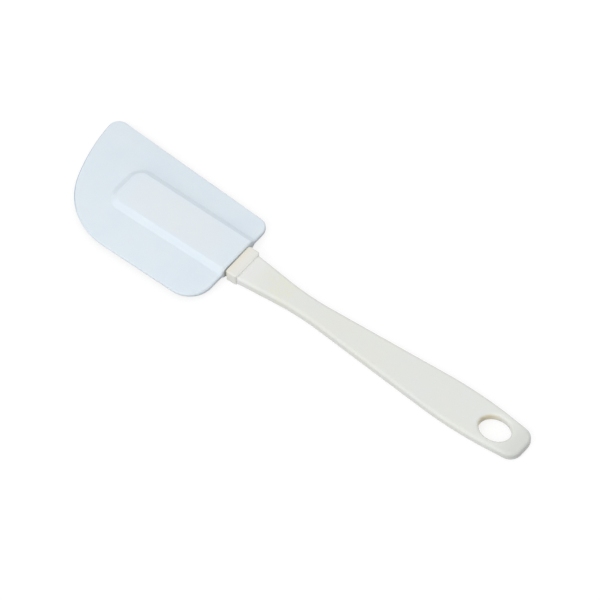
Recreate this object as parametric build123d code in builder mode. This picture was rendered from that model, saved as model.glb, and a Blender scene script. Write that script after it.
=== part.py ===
from build123d import *

import math
import os

# Silicone spatula of the 25 cm class, lying on its back.
# X runs along the length from the scraping edge (-X) to the hanging end (+X).
# Z is up, and the handle, the collar and the pocket of the blade all rest on Z = 0.
# Three pieces: a flexible blade, a stiff tang insert with its collar, and a handle.
# The blade slips off the tang towards -X, and the stem of the insert is pressed into the handle.
# All lengths are in millimetres.

# Driving sizes of the whole
overall_length = 250.0
blade_length = 91.1
collar_length = 6.0
running_gap = 0.6

# Blade: a soft plate, thin at its rim, with a raised pocket for the tang.
# Its reaches are measured from the middle of the tang, at the scraping edge.
blade_near_reach = 29.5
blade_far_reach = 28.0
blade_far_taper = 2.8
blade_root_thickness = 2.8
blade_tip_thickness = 2.0
blade_root_rim_thickness = 2.2
blade_tip_rim_thickness = 1.5
blade_rim_bevel = 0.5
scraping_edge_radius = 100.0
scraping_edge_lean = 4.0
tip_small_corner_radius = 5.0
tip_large_corner_radius = 35.0
root_small_corner_radius = 5.5
root_large_corner_radius = 12.0

# Pocket boss: stands out equally on both faces of the blade, a little off the tang's middle
boss_height = 6.6
boss_length = 63.6
boss_offset = 1.1
boss_crest_width = 18.6
boss_corner_radius = 5.0
boss_flank_angle = 54.0
boss_crest_radius = 0.8
boss_foot_radius = 1.2

# Tang: a ribbed paddle that stiffens the blade
tang_length = 58.0
tang_root_width = 16.0
tang_tip_width = 13.0
tang_root_thickness = 3.0
tang_tip_thickness = 2.2
tang_corner_radius = 3.0
tang_clearance = 0.12
tang_web_thickness = 1.1
tang_rail_width = 1.8
tang_rib_width = 1.4
tang_cell_radius = 0.7
tang_cell_rows = 4

# Collar: the block between blade and handle, a little larger than the handle's neck
collar_width = 17.0
collar_height = 6.4
collar_corner_radius = 1.2
collar_edge_radius = 0.7

# Stem: the tapered tongue that is pressed into the handle
stem_length = 24.0
stem_root_width = 8.4
stem_tip_width = 6.4
stem_root_thickness = 2.6
stem_tip_thickness = 2.2
stem_corner_radius = 1.2
stem_clearance = 0.05

# Handle: flat-backed, narrow behind the neck and widest before the hanging hole
handle_neck_width = 15.8
handle_waist_width = 9.4
handle_belly_width = 22.0
handle_tail_width = 15.6
handle_waist_distance = 31.0
handle_belly_end_distance = 31.0
handle_waist_easing = 12.0
handle_belly_easing = 18.0
handle_tail_corner_radius = 6.0
handle_tail_bulge = 0.5
handle_neck_thickness = 5.2
handle_tail_thickness = 4.6
handle_edge_radius = 1.5

# Hanging hole
hang_hole_length = 15.4
hang_hole_width = 12.0
hang_hole_end_distance = 16.1
hang_hole_rim_radius = 1.3

# How far cutting and trimming forms run past what they cut
cut_overrun = 5.0

# The plate's lens section is drawn wider than the blade by this share
section_share = 1.1

# A face counts as upright when its normal rises less than this share of its length
upright_share = 0.01

# Stations along X, and the level of the blade's middle plane
tip_x = -overall_length / 2
tail_x = overall_length / 2
blade_root_x = tip_x + blade_length
collar_x = blade_root_x + running_gap
neck_x = collar_x + collar_length
tang_tip_x = blade_root_x - tang_length
boss_tip_x = blade_root_x - boss_length
hang_hole_x = tail_x - hang_hole_end_distance
blade_z = boss_height / 2
stem_z = handle_neck_thickness / 2
handle_thickness = max(handle_neck_thickness, handle_tail_thickness)

os.makedirs("parts", exist_ok=True)


def tapered_bar(root, tip, root_size, tip_size, level, corner_radius, clearance):
    """A bar along X from station root to station tip, with the tip's upright corners rounded.

    The sizes are (width, thickness) pairs. Clearance is added on every side but the root,
    so one set of sizes makes both the bar and the blind pocket that takes it.
    """
    outward = math.copysign(1, tip - root)
    with BuildPart() as bar:
        for station, size in ((root, root_size), (tip + outward * clearance, tip_size)):
            with BuildSketch(Plane.YZ.offset(station)):
                with Locations((0, level)):
                    Rectangle(size[0] + 2 * clearance, size[1] + 2 * clearance)
        loft(ruled=True)
        upright_edges = bar.edges().filter_by(Axis.Z).sort_by(Axis.X)
        tip_edges = upright_edges[-2:] if outward > 0 else upright_edges[:2]
        fillet(tip_edges, corner_radius + clearance)
    return bar.part


def tang_form(clearance):
    """The paddle's outer form, or with a clearance the pocket in the blade."""
    return tapered_bar(
        collar_x,
        tang_tip_x,
        (tang_root_width, tang_root_thickness),
        (tang_tip_width, tang_tip_thickness),
        blade_z,
        tang_corner_radius,
        clearance,
    )


def stem_form(clearance):
    """The stem's outer form, or with a clearance the socket in the handle."""
    return tapered_bar(
        neck_x,
        neck_x + stem_length,
        (stem_root_width, stem_root_thickness),
        (stem_tip_width, stem_tip_thickness),
        stem_z,
        stem_corner_radius,
        clearance,
    )


tang_body = tang_form(0)
pocket_body = tang_form(tang_clearance)
stem_body = stem_form(0)
socket_body = stem_form(stem_clearance)

# Blade
# The far edge (+Y) leans outwards towards the tip. A small arc turns it into the scraping
# edge, a long bulging arc that leans away and meets the near edge (-Y) at the large corner.
# The corners at the root stay clear of the boss and its foot.
far_lean = math.radians(blade_far_taper)
tip_corner_x = tip_x + tip_small_corner_radius
tip_corner_y = blade_far_reach - tip_small_corner_radius
far_tangent_x = tip_corner_x + tip_small_corner_radius * math.sin(far_lean)
far_tangent_y = tip_corner_y + tip_small_corner_radius * math.cos(far_lean)
far_root_y = far_tangent_y - (blade_root_x - far_tangent_x) * math.tan(far_lean)
edge_lean = math.radians(scraping_edge_lean)
edge_tangent_x = tip_corner_x - tip_small_corner_radius * math.cos(edge_lean)
edge_tangent_y = tip_corner_y - tip_small_corner_radius * math.sin(edge_lean)
corner_middle_angle = math.pi / 2 + (math.pi / 2 + edge_lean - far_lean) / 2
corner_middle_x = tip_corner_x + tip_small_corner_radius * math.cos(corner_middle_angle)
corner_middle_y = tip_corner_y + tip_small_corner_radius * math.sin(corner_middle_angle)
edge_centre_x = edge_tangent_x + scraping_edge_radius * math.cos(edge_lean)
edge_centre_y = edge_tangent_y + scraping_edge_radius * math.sin(edge_lean)
edge_drop = edge_centre_y + blade_near_reach
edge_end_x = edge_centre_x - math.sqrt(scraping_edge_radius**2 - edge_drop**2)
flank_run = blade_z * math.tan(math.radians(boss_flank_angle))
boss_base_width = boss_crest_width + 2 * flank_run
boss_foot_half_width = boss_base_width / 2 + boss_foot_radius
near_root_wall = blade_near_reach + boss_offset - boss_foot_half_width
far_root_wall = far_root_y - boss_offset - boss_foot_half_width

with BuildPart() as blade:
    with BuildSketch(Plane.XY) as blade_outline:
        with BuildLine():
            Line((blade_root_x, far_root_y), (far_tangent_x, far_tangent_y))
            ThreePointArc(
                (far_tangent_x, far_tangent_y),
                (corner_middle_x, corner_middle_y),
                (edge_tangent_x, edge_tangent_y),
            )
            RadiusArc(
                (edge_tangent_x, edge_tangent_y),
                (edge_end_x, -blade_near_reach),
                -scraping_edge_radius,
            )
            Polyline(
                (edge_end_x, -blade_near_reach),
                (blade_root_x, -blade_near_reach),
                (blade_root_x, far_root_y),
            )
        make_face()
        near_tip_corner = blade_outline.vertices().group_by(Axis.Y)[0].sort_by(Axis.X)[0]
        fillet(near_tip_corner, tip_large_corner_radius)
        near_root_corner = blade_outline.vertices().group_by(Axis.Y)[0].sort_by(Axis.X)[-1]
        fillet(near_root_corner, min(root_large_corner_radius, near_root_wall))
        far_root_corner = blade_outline.vertices().group_by(Axis.X)[-1].sort_by(Axis.Y)[-1]
        fillet(far_root_corner, min(root_small_corner_radius, far_root_wall))
    extrude(amount=boss_height)
    # The plate's section is a flat lens that thins towards the rim and towards the tip
    section_half_width = section_share * max(blade_near_reach, blade_far_reach)
    for station, middle, rim in (
        (tip_x - cut_overrun, blade_tip_thickness, blade_tip_rim_thickness),
        (blade_root_x + cut_overrun, blade_root_thickness, blade_root_rim_thickness),
    ):
        edge_half_thickness = (middle - section_share**2 * (middle - rim)) / 2
        with BuildSketch(Plane.YZ.offset(station)):
            with BuildLine():
                for side in (1, -1):
                    ThreePointArc(
                        (-section_half_width, blade_z + side * edge_half_thickness),
                        (0, blade_z + side * middle / 2),
                        (section_half_width, blade_z + side * edge_half_thickness),
                    )
                    Line(
                        (side * section_half_width, blade_z - edge_half_thickness),
                        (side * section_half_width, blade_z + edge_half_thickness),
                    )
            make_face()
    loft(ruled=True, mode=Mode.INTERSECT)
    # The boss narrows from the middle plane to its crest on either face, and is cut off
    # flush with the blade's root
    boss_base_radius = boss_corner_radius + flank_run
    boss_base_length = boss_length + 2 * flank_run + boss_base_radius
    with BuildSketch(Plane.XY.offset(blade_z)):
        with Locations((boss_tip_x - flank_run + boss_base_length / 2, boss_offset)):
            RectangleRounded(boss_base_length, boss_base_width, boss_base_radius)
    extrude(amount=blade_z, both=True, taper=boss_flank_angle)
    split(bisect_by=Plane.YZ.offset(blade_root_x), keep=Keep.BOTTOM)
    # Rounded crest, soft foot where the flanks meet the plate, and a bevelled rim all round
    crests = blade.faces().filter_by(Plane.XY).group_by(SortBy.AREA)[-1]
    crest_edges = [edge for crest in crests for edge in crest.edges().sort_by(Axis.X)[:-1]]
    fillet(crest_edges, boss_crest_radius)
    plate_faces = blade.faces().sort_by(SortBy.AREA)[-2:]
    foot_edges = [
        edge
        for edge in plate_faces.edges()
        if abs(edge.center().Y - boss_offset) < boss_base_width / 2
        and boss_tip_x - flank_run < edge.center().X < blade_root_x - running_gap
    ]
    fillet(foot_edges, boss_foot_radius)
    walls = blade.faces().filter_by(lambda face: abs(face.normal_at().Z) < upright_share)
    chamfer(walls.edges().filter_by(Axis.Z, reverse=True), blade_rim_bevel)
    add(pocket_body, mode=Mode.SUBTRACT)
blade.part.label = "blade"
export_step(blade.part, "parts/blade.step")

# Tang insert
# The paddle's two faces are cored out between its side rails, a middle rib and cross ribs.
cell_root_x = blade_root_x - tang_rail_width
cell_tip_x = tang_tip_x + tang_rail_width
cell_pitch = (cell_root_x - cell_tip_x) / tang_cell_rows


def cell_half_width(station):
    """Half the cored width at a station along X, between the two side rails."""
    share = (collar_x - station) / (collar_x - tang_tip_x)
    tang_width = tang_root_width + (tang_tip_width - tang_root_width) * share
    return tang_width / 2 - tang_rail_width


with BuildPart() as tang_insert:
    with BuildSketch(Plane.XY):
        with Locations((collar_x + collar_length / 2, 0)):
            Rectangle(collar_length, collar_width)
    extrude(amount=collar_height)
    fillet(tang_insert.edges().filter_by(Axis.Z), collar_corner_radius)
    fillet(tang_insert.edges().filter_by(Axis.Z, reverse=True), collar_edge_radius)
    add(tang_body)
    add(stem_body)
    for side in (1, -1):
        with BuildSketch(Plane.XY.offset(blade_z + side * tang_web_thickness / 2)) as cells:
            with BuildLine():
                Polyline(
                    (cell_root_x, cell_half_width(cell_root_x)),
                    (cell_root_x, -cell_half_width(cell_root_x)),
                    (cell_tip_x, -cell_half_width(cell_tip_x)),
                    (cell_tip_x, cell_half_width(cell_tip_x)),
                    close=True,
                )
            make_face()
            with Locations(((cell_root_x + cell_tip_x) / 2, 0)):
                Rectangle(cell_root_x - cell_tip_x, tang_rib_width, mode=Mode.SUBTRACT)
                with GridLocations(cell_pitch, 0, tang_cell_rows - 1, 1):
                    Rectangle(tang_rib_width, tang_root_width, mode=Mode.SUBTRACT)
            fillet(cells.vertices(), tang_cell_radius)
        extrude(amount=side * tang_root_thickness, mode=Mode.SUBTRACT)
tang_insert.part.label = "tang_insert"
export_step(tang_insert.part, "parts/tang_insert.step")

# Handle
# Half of the outline: straight runs eased into each other at the waist and the belly,
# then a tail corner and a slightly bulging tail. An easing is the length of each run that
# the arc between two runs takes up, and the turn between them gives its radius.
waist_x = neck_x + handle_waist_distance
belly_x = tail_x - handle_belly_end_distance
tail_corner_x = tail_x - handle_tail_bulge
neck_lean = math.atan2(handle_neck_width - handle_waist_width, 2 * handle_waist_distance)
body_lean = math.atan2(handle_belly_width - handle_waist_width, 2 * (belly_x - waist_x))
tail_lean = math.atan2(handle_belly_width - handle_tail_width, 2 * (tail_corner_x - belly_x))
waist_radius = handle_waist_easing / math.tan((neck_lean + body_lean) / 2)
belly_radius = handle_belly_easing / math.tan((body_lean + tail_lean) / 2)


def around_hang_hole(edge):
    """Whether an edge's middle lies within the hanging hole."""
    middle = edge.bounding_box().center()
    return abs(middle.X - hang_hole_x) < hang_hole_length / 2 and abs(middle.Y) < hang_hole_width / 2


with BuildPart() as handle:
    with BuildSketch(Plane.XY) as outline:
        with BuildLine():
            flank = FilletPolyline(
                (neck_x, handle_neck_width / 2),
                (waist_x, handle_waist_width / 2),
                (belly_x, handle_belly_width / 2),
                (tail_corner_x, handle_tail_width / 2),
                radius=[waist_radius, belly_radius],
            )
            tail = ThreePointArc(
                flank @ 1,
                (tail_x, 0),
                (tail_corner_x, -handle_tail_width / 2),
            )
            mirror(flank, about=Plane.XZ)
            Line((neck_x, -handle_neck_width / 2), (neck_x, handle_neck_width / 2))
        make_face()
        fillet(outline.vertices().group_by(Axis.X)[-1], handle_tail_corner_radius)
        with Locations((hang_hole_x, 0)):
            Ellipse(hang_hole_length / 2, hang_hole_width / 2, mode=Mode.SUBTRACT)
    extrude(amount=handle_thickness)
    with BuildSketch(Plane.XZ):
        with BuildLine():
            Polyline(
                (neck_x, 0),
                (tail_x, 0),
                (tail_x, handle_tail_thickness),
                (neck_x, handle_neck_thickness),
                close=True,
            )
        make_face()
    extrude(amount=handle_belly_width, both=True, mode=Mode.INTERSECT)
    # The rim of the hole and the outer edges are rounded on both faces, each by its own radius
    for at_hole, radius in ((True, hang_hole_rim_radius), (False, handle_edge_radius)):
        broad_edges = handle.faces().sort_by(SortBy.AREA)[-2:].edges()
        fillet(
            broad_edges.filter_by(Axis.Y, reverse=True).filter_by(
                lambda edge: around_hang_hole(edge) == at_hole
            ),
            radius,
        )
    add(socket_body, mode=Mode.SUBTRACT)
handle.part.label = "handle"
export_step(handle.part, "parts/handle.step")
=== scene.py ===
import math

import bmesh
import bpy
from mathutils import Matrix, Vector


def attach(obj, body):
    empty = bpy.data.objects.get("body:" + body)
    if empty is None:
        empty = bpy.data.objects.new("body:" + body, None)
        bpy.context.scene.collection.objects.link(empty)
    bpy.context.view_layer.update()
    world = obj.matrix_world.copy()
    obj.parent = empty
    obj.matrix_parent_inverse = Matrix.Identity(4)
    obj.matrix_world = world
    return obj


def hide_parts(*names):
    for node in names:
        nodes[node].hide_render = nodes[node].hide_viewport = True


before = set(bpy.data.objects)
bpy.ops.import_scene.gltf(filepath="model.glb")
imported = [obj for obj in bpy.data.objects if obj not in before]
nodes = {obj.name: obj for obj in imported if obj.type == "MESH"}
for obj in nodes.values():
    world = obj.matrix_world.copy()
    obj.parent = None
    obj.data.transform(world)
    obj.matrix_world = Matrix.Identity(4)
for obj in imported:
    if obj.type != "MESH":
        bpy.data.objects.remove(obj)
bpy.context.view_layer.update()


# Silicone blade: one soft moulding of bluish white silicone, a thin plate with a raised pocket
# that the tang slips into. It is compression moulded, so its skin is satin, with faint clouds
# in the colour.

def shader_group(name, inputs, outputs):
    """An empty shader node group with named inputs and outputs, and its two end nodes."""
    group = bpy.data.node_groups.new(name, "ShaderNodeTree")
    for socket_name, socket_type, value in inputs:
        socket = group.interface.new_socket(socket_name, in_out="INPUT", socket_type=socket_type)
        socket.default_value = value
    for socket_name, socket_type in outputs:
        group.interface.new_socket(socket_name, in_out="OUTPUT", socket_type=socket_type)
    return group, group.nodes.new("NodeGroupInput"), group.nodes.new("NodeGroupOutput")


# Cloudy tint: two colours mixed by a soft noise, as in a thick translucent or pigmented moulding
clouds, ends_in, ends_out = shader_group(
    "CloudyTint",
    (
        ("Colour", "NodeSocketColor", (1, 1, 1, 1)),
        ("Tint", "NodeSocketColor", (1, 1, 1, 1)),
        ("Scale", "NodeSocketFloat", 60.0),
        ("Amount", "NodeSocketFloat", 0.5),
    ),
    (("Colour", "NodeSocketColor"), ("Mask", "NodeSocketFloat")),
)
coordinates = clouds.nodes.new("ShaderNodeTexCoord")
noise = clouds.nodes.new("ShaderNodeTexNoise")
noise.inputs["Detail"].default_value = 4
noise.inputs["Roughness"].default_value = 0.55
spread = clouds.nodes.new("ShaderNodeMapRange")
spread.inputs["From Min"].default_value = 0.35
spread.inputs["From Max"].default_value = 0.65
strength = clouds.nodes.new("ShaderNodeMath")
strength.operation = "MULTIPLY"
mix = clouds.nodes.new("ShaderNodeMix")
mix.data_type = "RGBA"
clouds.links.new(coordinates.outputs["Object"], noise.inputs["Vector"])
clouds.links.new(ends_in.outputs["Scale"], noise.inputs["Scale"])
clouds.links.new(noise.outputs["Fac"], spread.inputs["Value"])
clouds.links.new(spread.outputs["Result"], strength.inputs[0])
clouds.links.new(ends_in.outputs["Amount"], strength.inputs[1])
clouds.links.new(strength.outputs["Value"], mix.inputs["Factor"])
clouds.links.new(ends_in.outputs["Colour"], mix.inputs["A"])
clouds.links.new(ends_in.outputs["Tint"], mix.inputs["B"])
clouds.links.new(mix.outputs["Result"], ends_out.inputs["Colour"])
clouds.links.new(strength.outputs["Value"], ends_out.inputs["Mask"])

# Mould grain: the fine matte texture of the mould, with a slower unevenness under it
grain, ends_in, ends_out = shader_group(
    "MouldGrain",
    (
        ("Fine scale", "NodeSocketFloat", 2500.0),
        ("Slow scale", "NodeSocketFloat", 120.0),
        ("Slow share", "NodeSocketFloat", 0.5),
    ),
    (("Height", "NodeSocketFloat"),),
)
coordinates = grain.nodes.new("ShaderNodeTexCoord")
fine = grain.nodes.new("ShaderNodeTexNoise")
fine.inputs["Detail"].default_value = 3
slow = grain.nodes.new("ShaderNodeTexNoise")
slow.inputs["Detail"].default_value = 2
blend = grain.nodes.new("ShaderNodeMix")
blend.data_type = "FLOAT"
grain.links.new(coordinates.outputs["Object"], fine.inputs["Vector"])
grain.links.new(coordinates.outputs["Object"], slow.inputs["Vector"])
grain.links.new(ends_in.outputs["Fine scale"], fine.inputs["Scale"])
grain.links.new(ends_in.outputs["Slow scale"], slow.inputs["Scale"])
grain.links.new(ends_in.outputs["Slow share"], blend.inputs["Factor"])
grain.links.new(fine.outputs["Fac"], blend.inputs["A"])
grain.links.new(slow.outputs["Fac"], blend.inputs["B"])
grain.links.new(blend.outputs["Result"], ends_out.inputs["Height"])

# Soft box: 1 inside a box in the object's own coordinates, falling softly to 0 outside it
soft_box, ends_in, ends_out = shader_group(
    "SoftBox",
    (
        ("Middle", "NodeSocketVector", (0, 0, 0)),
        ("Half size", "NodeSocketVector", (1, 1, 1)),
        ("Softness", "NodeSocketFloat", 0.005),
    ),
    (("Mask", "NodeSocketFloat"),),
)
coordinates = soft_box.nodes.new("ShaderNodeTexCoord")
from_middle = soft_box.nodes.new("ShaderNodeVectorMath")
from_middle.operation = "SUBTRACT"
distances = soft_box.nodes.new("ShaderNodeVectorMath")
distances.operation = "ABSOLUTE"
beyond = soft_box.nodes.new("ShaderNodeVectorMath")
beyond.operation = "SUBTRACT"
apart = soft_box.nodes.new("ShaderNodeSeparateXYZ")
larger = soft_box.nodes.new("ShaderNodeMath")
larger.operation = "MAXIMUM"
largest = soft_box.nodes.new("ShaderNodeMath")
largest.operation = "MAXIMUM"
fall = soft_box.nodes.new("ShaderNodeMapRange")
fall.interpolation_type = "SMOOTHSTEP"
fall.inputs["To Min"].default_value = 1
fall.inputs["To Max"].default_value = 0
soft_box.links.new(coordinates.outputs["Object"], from_middle.inputs[0])
soft_box.links.new(ends_in.outputs["Middle"], from_middle.inputs[1])
soft_box.links.new(from_middle.outputs["Vector"], distances.inputs[0])
soft_box.links.new(distances.outputs["Vector"], beyond.inputs[0])
soft_box.links.new(ends_in.outputs["Half size"], beyond.inputs[1])
soft_box.links.new(beyond.outputs["Vector"], apart.inputs["Vector"])
soft_box.links.new(apart.outputs["X"], larger.inputs[0])
soft_box.links.new(apart.outputs["Y"], larger.inputs[1])
soft_box.links.new(larger.outputs["Value"], largest.inputs[0])
soft_box.links.new(apart.outputs["Z"], largest.inputs[1])
soft_box.links.new(largest.outputs["Value"], fall.inputs["Value"])
soft_box.links.new(ends_in.outputs["Softness"], fall.inputs["From Max"])
soft_box.links.new(fall.outputs["Result"], ends_out.inputs["Mask"])


def box_mask(tree, middle, half_size, softness):
    """A soft box mask at its place on the piece, in metres. A half size that reaches past the
    piece leaves that direction free."""
    box = tree.nodes.new("ShaderNodeGroup")
    box.node_tree = soft_box
    box.inputs["Middle"].default_value = middle
    box.inputs["Half size"].default_value = half_size
    box.inputs["Softness"].default_value = softness
    return box.outputs["Mask"]


def multiplied(tree, first, second):
    """The product of two sockets."""
    product = tree.nodes.new("ShaderNodeMath")
    product.operation = "MULTIPLY"
    tree.links.new(first, product.inputs[0])
    tree.links.new(second, product.inputs[1])
    return product.outputs["Value"]


def tinted(tree, colour, mask, tint):
    """Mixes a tint over the colour that a socket gives, where the mask is 1."""
    layer = tree.nodes.new("ShaderNodeMix")
    layer.data_type = "RGBA"
    tree.links.new(mask, layer.inputs["Factor"])
    tree.links.new(colour, layer.inputs["A"])
    layer.inputs["B"].default_value = (*tint, 1)
    return layer.outputs["Result"]


def moulded_material(
    name, colour, cloud_colour, cloud_scale, cloud_amount, roughness, roughness_spread, grain_depth
):
    """A material with uneven gloss and a mould's grain, its shader, and its cloudy colour, which
    is left for each piece to tint and to link to the shader."""
    material = bpy.data.materials.new(name)
    material.use_nodes = True
    tree = material.node_tree
    shader = tree.nodes["Principled BSDF"]
    colours = tree.nodes.new("ShaderNodeGroup")
    colours.node_tree = clouds
    colours.inputs["Colour"].default_value = (*colour, 1)
    colours.inputs["Tint"].default_value = (*cloud_colour, 1)
    colours.inputs["Scale"].default_value = cloud_scale
    colours.inputs["Amount"].default_value = cloud_amount
    gloss = tree.nodes.new("ShaderNodeMapRange")
    gloss.inputs["To Min"].default_value = roughness - roughness_spread
    gloss.inputs["To Max"].default_value = roughness + roughness_spread
    heights = tree.nodes.new("ShaderNodeGroup")
    heights.node_tree = grain
    bump = tree.nodes.new("ShaderNodeBump")
    bump.inputs["Distance"].default_value = grain_depth
    bump.inputs["Strength"].default_value = 0.5
    tree.links.new(colours.outputs["Mask"], gloss.inputs["Value"])
    tree.links.new(gloss.outputs["Result"], shader.inputs["Roughness"])
    tree.links.new(heights.outputs["Height"], bump.inputs["Height"])
    tree.links.new(bump.outputs["Normal"], shader.inputs["Normal"])
    return material, shader, colours.outputs["Colour"]


silicone, silicone_shader, skin_colour = moulded_material(
    "BluishSilicone",
    colour=(0.72, 0.80, 0.87),
    cloud_colour=(0.76, 0.83, 0.88),
    cloud_scale=60,
    cloud_amount=0.6,
    roughness=0.6,
    roughness_spread=0.05,
    grain_depth=0.00003,
)
silicone_shader.inputs["Specular IOR Level"].default_value = 0.3
silicone_shader.inputs["Subsurface Weight"].default_value = 0.2
silicone_shader.inputs["Subsurface Radius"].default_value = (1.0, 1.2, 1.4)
silicone_shader.inputs["Subsurface Scale"].default_value = 0.002

# The cream tang shines faintly through the boss; painted shade darkens the scraping edge's rim
# wall
tang_middle = (-0.070, 0.0011, 0.0033)
shine_colour = (0.765, 0.821, 0.865)
rim_shade_colour = (0.54, 0.64, 0.75)

tree = silicone.node_tree
along_tang = box_mask(tree, tang_middle, half_size=(0.012, 0.1, 0.1), softness=0.022)
across_tang = box_mask(tree, tang_middle, half_size=(0.1, 0.0065, 0.0045), softness=0.004)
over_tang = multiplied(tree, along_tang, across_tang)
rim_mark = tree.nodes.new("ShaderNodeAttribute")
rim_mark.attribute_name = "rim"
at_edge = box_mask(
    tree, middle=(-0.130, 0.010, 0), half_size=(0.016, 0.030, 0.1), softness=0.012
)
# Painted shade on the steep rim wall at the scraping edge, in a deeper blue
rim_shade = multiplied(tree, rim_mark.outputs["Fac"], at_edge)
skin_colour = tinted(tree, skin_colour, over_tang, shine_colour)
skin_colour = tinted(tree, skin_colour, rim_shade, rim_shade_colour)
tree.links.new(skin_colour, silicone_shader.inputs["Base Color"])

merge_distance = 0.000001
flat_angle = math.radians(0.3)
sharp_angle = math.radians(45)


def merged_copy(node):
    """A CAD node's loose triangles merged into one skin, with each flat face made whole."""
    shape = bmesh.new()
    shape.from_mesh(node.data)
    bmesh.ops.remove_doubles(shape, verts=shape.verts, dist=merge_distance)
    bmesh.ops.dissolve_limit(shape, angle_limit=flat_angle, verts=shape.verts, edges=shape.edges)
    return shape


def finished_skin(shape, name, material):
    """The object of a shape, shaded smooth between its sharp edges."""
    for face in shape.faces:
        face.smooth = True
    for edge in shape.edges:
        edge.smooth = edge.calc_face_angle() < sharp_angle
    mesh = bpy.data.meshes.new(name)
    shape.to_mesh(mesh)
    shape.free()
    mesh.materials.append(material)
    skin = bpy.data.objects.new(name, mesh)
    bpy.context.collection.objects.link(skin)
    return skin


# The skin is the solid's own, with its rim rounded and a fine parting line raised along it. The
# rim's steep faces, apart from the boss, carry the mark that the painted rim shade follows
rim_round = 0.00022
rim_angles = (math.radians(30), math.radians(62))
parting_height = 0.0033
parting_half_width = 0.00010
parting_rise = 0.00006
height_tolerance = 0.000005
boss_middle = 0.0011
boss_half_width = 0.0130
boss_tip = -0.0990
rim_normal_limit = 0.9

shape = merged_copy(nodes["blade"])
rim_edges = [e for e in shape.edges if rim_angles[0] < e.calc_face_angle() < rim_angles[1]]
bmesh.ops.bevel(
    shape, geom=rim_edges, offset=rim_round, offset_type="OFFSET", segments=3, profile=0.5,
    affect="EDGES", clamp_overlap=True, material=-1,
)
for rise in (-parting_half_width, 0, parting_half_width):
    bmesh.ops.bisect_plane(
        shape, geom=shape.verts[:] + shape.edges[:] + shape.faces[:], dist=merge_distance,
        plane_co=(0, 0, parting_height + rise), plane_no=(0, 0, 1),
    )
shape.normal_update()
rim_layer = shape.verts.layers.float.new("rim")
for vertex in shape.verts:
    x, y, z = vertex.co
    in_boss = x > boss_tip and abs(y - boss_middle) < boss_half_width
    on_rim = abs(vertex.normal.z) < rim_normal_limit and not in_boss
    vertex[rim_layer] = float(on_rim)
    if on_rim and abs(z - parting_height) < height_tolerance:
        outward = Vector((vertex.normal.x, vertex.normal.y, 0)).normalized()
        vertex.co += outward * parting_rise
blade_skin = finished_skin(shape, "blade_skin", silicone)
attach(blade_skin, "head")
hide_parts("blade")


# Tang insert: one stiff moulding of cream nylon, a ribbed paddle inside the blade, the collar
# that shows between blade and handle, and a stem that is pressed into the handle. Painted shade
# darkens the narrow gap at the blade's mouth.

nylon, nylon_shader, collar_colour = moulded_material(
    "CreamNylon",
    colour=(0.785, 0.785, 0.745),
    cloud_colour=(0.80, 0.79, 0.745),
    cloud_scale=90,
    cloud_amount=0.6,
    roughness=0.32,
    roughness_spread=0.04,
    grain_depth=0.00002,
)

# The collar is yellower beside the gap, darkened with painted shade in the gap's near half, and
# given painted light on the step that it makes above the handle, which lifts the step's shade line
warm_colour = (0.795, 0.765, 0.675)
gap_shade_colour = (0.34, 0.32, 0.28)
step_light_colour = (0.95, 0.95, 0.92)

tree = nylon.node_tree
beside_gap = box_mask(
    tree, middle=(-0.0333, 0, 0.0033), half_size=(0.0008, 0.02, 0.01), softness=0.0032
)
in_gap = box_mask(
    tree, middle=(-0.0339, 0, 0.0033), half_size=(0.0004, 0.02, 0.01), softness=0.0003
)
near_half = box_mask(
    tree, middle=(-0.0339, -0.0085, 0.0033), half_size=(0.01, 0.004, 0.02), softness=0.008
)
# Painted shade in the near half of the gap at the blade's mouth
gap_shade = multiplied(tree, in_gap, near_half)
# Painted light on the collar's step face above the handle, which lifts its shade line
at_step = box_mask(
    tree, middle=(-0.0273, 0, 0.0058), half_size=(0.00005, 0.02, 0.0008), softness=0.0002
)
collar_colour = tinted(tree, collar_colour, beside_gap, warm_colour)
collar_colour = tinted(tree, collar_colour, gap_shade, gap_shade_colour)
collar_colour = tinted(tree, collar_colour, at_step, step_light_colour)
tree.links.new(collar_colour, nylon_shader.inputs["Base Color"])

# The outer edges of the paddle and of its rib cells are softened, as a mould leaves them
edge_round = 0.0002
crisp_angle = math.radians(60)
paddle_root = -0.0345

shape = merged_copy(nodes["tang_insert"])
crisp_edges = [
    e for e in shape.edges
    if e.calc_face_angle_signed() > crisp_angle and min(v.co.x for v in e.verts) < paddle_root
]
bmesh.ops.bevel(
    shape, geom=crisp_edges, offset=edge_round, offset_type="OFFSET", segments=2, profile=0.5,
    affect="EDGES", clamp_overlap=False, material=-1,
)
insert_skin = finished_skin(shape, "insert_skin", nylon)
flat_sides = insert_skin.modifiers.new("flat_sides", "WEIGHTED_NORMAL")
flat_sides.keep_sharp = True
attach(insert_skin, "grip")
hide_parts("tang_insert")


# Handle: one moulding of cream white polypropylene, flat on its back, with an oval hanging hole.
# It has yellowed a little near the neck. Painted shade makes it darker towards the end, and
# makes the wall of the hole darker and warmer on its neck side.

polypropylene, polypropylene_shader, handle_colour = moulded_material(
    "CreamPolypropylene",
    colour=(0.755, 0.77, 0.745),
    cloud_colour=(0.765, 0.77, 0.70),
    cloud_scale=70,
    cloud_amount=0.6,
    roughness=0.26,
    roughness_spread=0.04,
    grain_depth=0.00002,
)
clean_colour = (0.785, 0.795, 0.770)
yellowed_colour = (0.765, 0.775, 0.66)
end_shade_colour = (0.665, 0.68, 0.65)
hole_shade_colour = (0.75, 0.68, 0.50)

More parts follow.
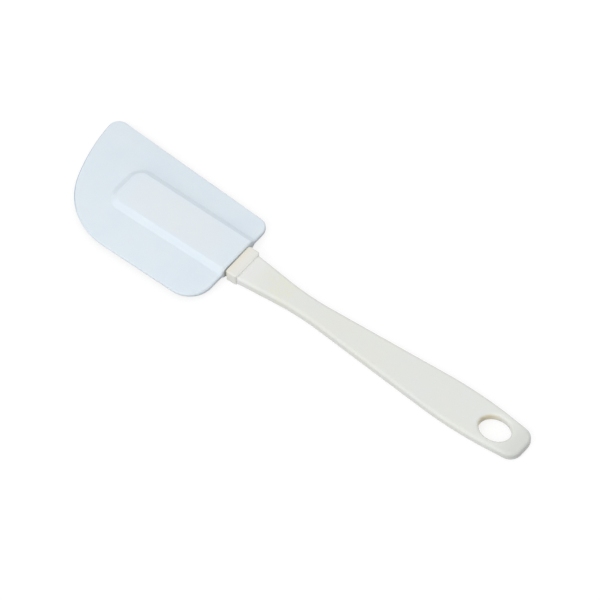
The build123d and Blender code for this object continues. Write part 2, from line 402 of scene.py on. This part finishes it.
tree = polypropylene.node_tree
at_neck = box_mask(
    tree, middle=(-0.027, 0, 0.0026), half_size=(0.003, 0.02, 0.01), softness=0.010
)
behind_neck = box_mask(
    tree, middle=(-0.010, 0, 0.0026), half_size=(0.005, 0.003, 0.005), softness=0.007
)
mottle = tree.nodes.new("ShaderNodeGroup")
mottle.node_tree = clouds
mottle.inputs["Scale"].default_value = 260
mottle.inputs["Amount"].default_value = 1.0
yellowed = multiplied(tree, behind_neck, mottle.outputs["Mask"])
# Painted shade, making the handle darker towards its end
end_shade = box_mask(
    tree, middle=(0.129, 0, 0.0026), half_size=(0.006, 0.02, 0.005), softness=0.011
)

# The painted shade follows the hole's oval wall and fades from its neck side to its end side. Both
# are measured in the hole's own radii, from its middle
hole_middle = (0.1089, 0, 0)
hole_radii = (0.0077, 0.0060)

coordinates = tree.nodes.new("ShaderNodeTexCoord")
from_hole = tree.nodes.new("ShaderNodeVectorMath")
from_hole.operation = "SUBTRACT"
from_hole.inputs[1].default_value = hole_middle
in_radii = tree.nodes.new("ShaderNodeVectorMath")
in_radii.operation = "MULTIPLY"
in_radii.inputs[1].default_value = (1 / hole_radii[0], 1 / hole_radii[1], 0)
reach = tree.nodes.new("ShaderNodeVectorMath")
reach.operation = "LENGTH"
along = tree.nodes.new("ShaderNodeSeparateXYZ")
near_wall = tree.nodes.new("ShaderNodeMapRange")
near_wall.interpolation_type = "SMOOTHSTEP"
near_wall.inputs["From Min"].default_value = 1.0
near_wall.inputs["From Max"].default_value = 1.08
near_wall.inputs["To Min"].default_value = 1.0
near_wall.inputs["To Max"].default_value = 0.0
neck_side = tree.nodes.new("ShaderNodeMapRange")
neck_side.interpolation_type = "SMOOTHSTEP"
neck_side.inputs["From Min"].default_value = -0.9
neck_side.inputs["From Max"].default_value = 0.2
neck_side.inputs["To Min"].default_value = 1.0
neck_side.inputs["To Max"].default_value = 0.05
tree.links.new(coordinates.outputs["Object"], from_hole.inputs[0])
tree.links.new(from_hole.outputs["Vector"], in_radii.inputs[0])
tree.links.new(in_radii.outputs["Vector"], reach.inputs[0])
tree.links.new(in_radii.outputs["Vector"], along.inputs["Vector"])
tree.links.new(reach.outputs["Value"], near_wall.inputs["Value"])
tree.links.new(along.outputs["X"], neck_side.inputs["Value"])
# Painted shade on the hole's wall, warm and strongest on its neck side
hole_shade = multiplied(tree, near_wall.outputs["Result"], neck_side.outputs["Result"])

handle_colour = tinted(tree, handle_colour, at_neck, clean_colour)
handle_colour = tinted(tree, handle_colour, yellowed, yellowed_colour)
handle_colour = tinted(tree, handle_colour, end_shade, end_shade_colour)
handle_colour = tinted(tree, handle_colour, hole_shade, hole_shade_colour)
tree.links.new(handle_colour, polypropylene_shader.inputs["Base Color"])
nodes["handle"].data.materials.clear()
nodes["handle"].data.materials.append(polypropylene)


# Studio: a pale table, a large soft lamp over the near side, a weaker one opposite, and a dome of
# light that darkens towards the horizon. The camera and reflections see the table and the dome
# as plain white.

def shows_white(tree):
    """1 for what the camera, a reflection or a clear piece shows, and 0 for the light."""
    rays = tree.nodes.new("ShaderNodeLightPath")
    seen = rays.outputs["Is Camera Ray"]
    for ray in ("Is Glossy Ray", "Is Transmission Ray"):
        either = tree.nodes.new("ShaderNodeMath")
        either.operation = "MAXIMUM"
        tree.links.new(seen, either.inputs[0])
        tree.links.new(rays.outputs[ray], either.inputs[1])
        seen = either.outputs["Value"]
    return seen


white = (1, 1, 1, 1)
table_half_width = 3.0
table_grey = 0.26
table_glow = 0.78

table_mesh = bpy.data.meshes.new("table")
shape = bmesh.new()
bmesh.ops.create_grid(shape, x_segments=1, y_segments=1, size=table_half_width)
shape.to_mesh(table_mesh)
shape.free()
table = bpy.data.objects.new("table", table_mesh)
bpy.context.collection.objects.link(table)

table_material = bpy.data.materials.new("WhiteTable")
table_material.use_nodes = True
tree = table_material.node_tree
table_shader = tree.nodes["Principled BSDF"]
table_shader.inputs["Base Color"].default_value = (table_grey, table_grey, table_grey, 1)
table_shader.inputs["Roughness"].default_value = 0.9
table_shader.inputs["Specular IOR Level"].default_value = 0.1
glow = tree.nodes.new("ShaderNodeEmission")
glow.inputs["Color"].default_value = white
glow_strength = tree.nodes.new("ShaderNodeMath")
glow_strength.operation = "MULTIPLY"
glow_strength.inputs[1].default_value = table_glow
both = tree.nodes.new("ShaderNodeAddShader")
tree.links.new(shows_white(tree), glow_strength.inputs[0])
tree.links.new(glow_strength.outputs["Value"], glow.inputs["Strength"])
tree.links.new(table_shader.outputs["BSDF"], both.inputs[0])
tree.links.new(glow.outputs["Emission"], both.inputs[1])
tree.links.new(both.outputs["Shader"], tree.nodes["Material Output"].inputs["Surface"])
table_mesh.materials.append(table_material)

full_light_height = 0.4
horizon_light = 0.10
full_light = 0.66

sky = bpy.data.worlds.new("Sky")
sky.use_nodes = True
tree = sky.node_tree
light_dome = tree.nodes["Background"]
light_dome.inputs["Color"].default_value = white
direction = tree.nodes.new("ShaderNodeTexCoord")
upward = tree.nodes.new("ShaderNodeSeparateXYZ")
dome_strength = tree.nodes.new("ShaderNodeMapRange")
dome_strength.inputs["From Max"].default_value = full_light_height
dome_strength.inputs["To Min"].default_value = horizon_light
dome_strength.inputs["To Max"].default_value = full_light
backdrop = tree.nodes.new("ShaderNodeBackground")
backdrop.inputs["Strength"].default_value = 1.0
backdrop.inputs["Color"].default_value = white
shown = tree.nodes.new("ShaderNodeMixShader")
tree.links.new(direction.outputs["Generated"], upward.inputs["Vector"])
tree.links.new(upward.outputs["Z"], dome_strength.inputs["Value"])
tree.links.new(dome_strength.outputs["Result"], light_dome.inputs["Strength"])
tree.links.new(shows_white(tree), shown.inputs["Fac"])
tree.links.new(light_dome.outputs["Background"], shown.inputs[1])
tree.links.new(backdrop.outputs["Background"], shown.inputs[2])
tree.links.new(shown.outputs["Shader"], tree.nodes["World Output"].inputs["Surface"])
bpy.context.scene.world = sky


def soft_lamp(name, place, side, power):
    """A square area lamp that points at the middle of the object. It stays out of reflections,
    which show the white backdrop alone, so that pale tops keep their colour from low down."""
    data = bpy.data.lights.new(name, "AREA")
    data.shape = "SQUARE"
    data.size = side
    data.energy = power
    lamp = bpy.data.objects.new(name, data)
    bpy.context.collection.objects.link(lamp)
    lamp.location = place
    lamp.rotation_mode = "QUATERNION"
    lamp.rotation_quaternion = (-Vector(place)).to_track_quat("-Z", "Y")
    lamp.visible_glossy = False


soft_lamp("near_lamp", place=(0.1, -2.52, 1.57), side=3.0, power=59.3)
soft_lamp("far_lamp", place=(0.1, 2.09, 0.99), side=2.2, power=15.1)


# Camera: it looks down from the near side and the hanging end, from far off, turned a little
# about its own axis. The picture's shift is in pixels, rightwards and downwards.

camera_distance = 2.5
camera_azimuth = math.radians(40.08)
camera_elevation = math.radians(55.57)
camera_roll = math.radians(-1.76)
camera_lens_mm = 343.6
camera_sensor_mm = 36
camera_range = 10
frame_pixels = 600
picture_shift = (-3.05, 4.82)

sight = Vector(
    (
        -math.sin(camera_azimuth) * math.cos(camera_elevation),
        math.cos(camera_azimuth) * math.cos(camera_elevation),
        -math.sin(camera_elevation),
    )
)
level_right = Vector((math.cos(camera_azimuth), math.sin(camera_azimuth), 0))
level_up = level_right.cross(sight)
picture_right = level_right * math.cos(camera_roll) + level_up * math.sin(camera_roll)
picture_up = level_up * math.cos(camera_roll) - level_right * math.sin(camera_roll)
turn = Matrix((picture_right, picture_up, -sight)).transposed()

camera_data = bpy.data.cameras.new("camera")
camera_data.sensor_width = camera_sensor_mm
camera_data.lens = camera_lens_mm
camera_data.shift_x = -picture_shift[0] / frame_pixels
camera_data.shift_y = picture_shift[1] / frame_pixels
camera_data.clip_end = camera_range
camera = bpy.data.objects.new("camera", camera_data)
bpy.context.collection.objects.link(camera)
camera.rotation_mode = "QUATERNION"
camera.rotation_quaternion = turn.to_quaternion()
camera.location = -sight * camera_distance
bpy.context.scene.camera = camera
bpy.context.scene.view_settings.view_transform = "Standard"
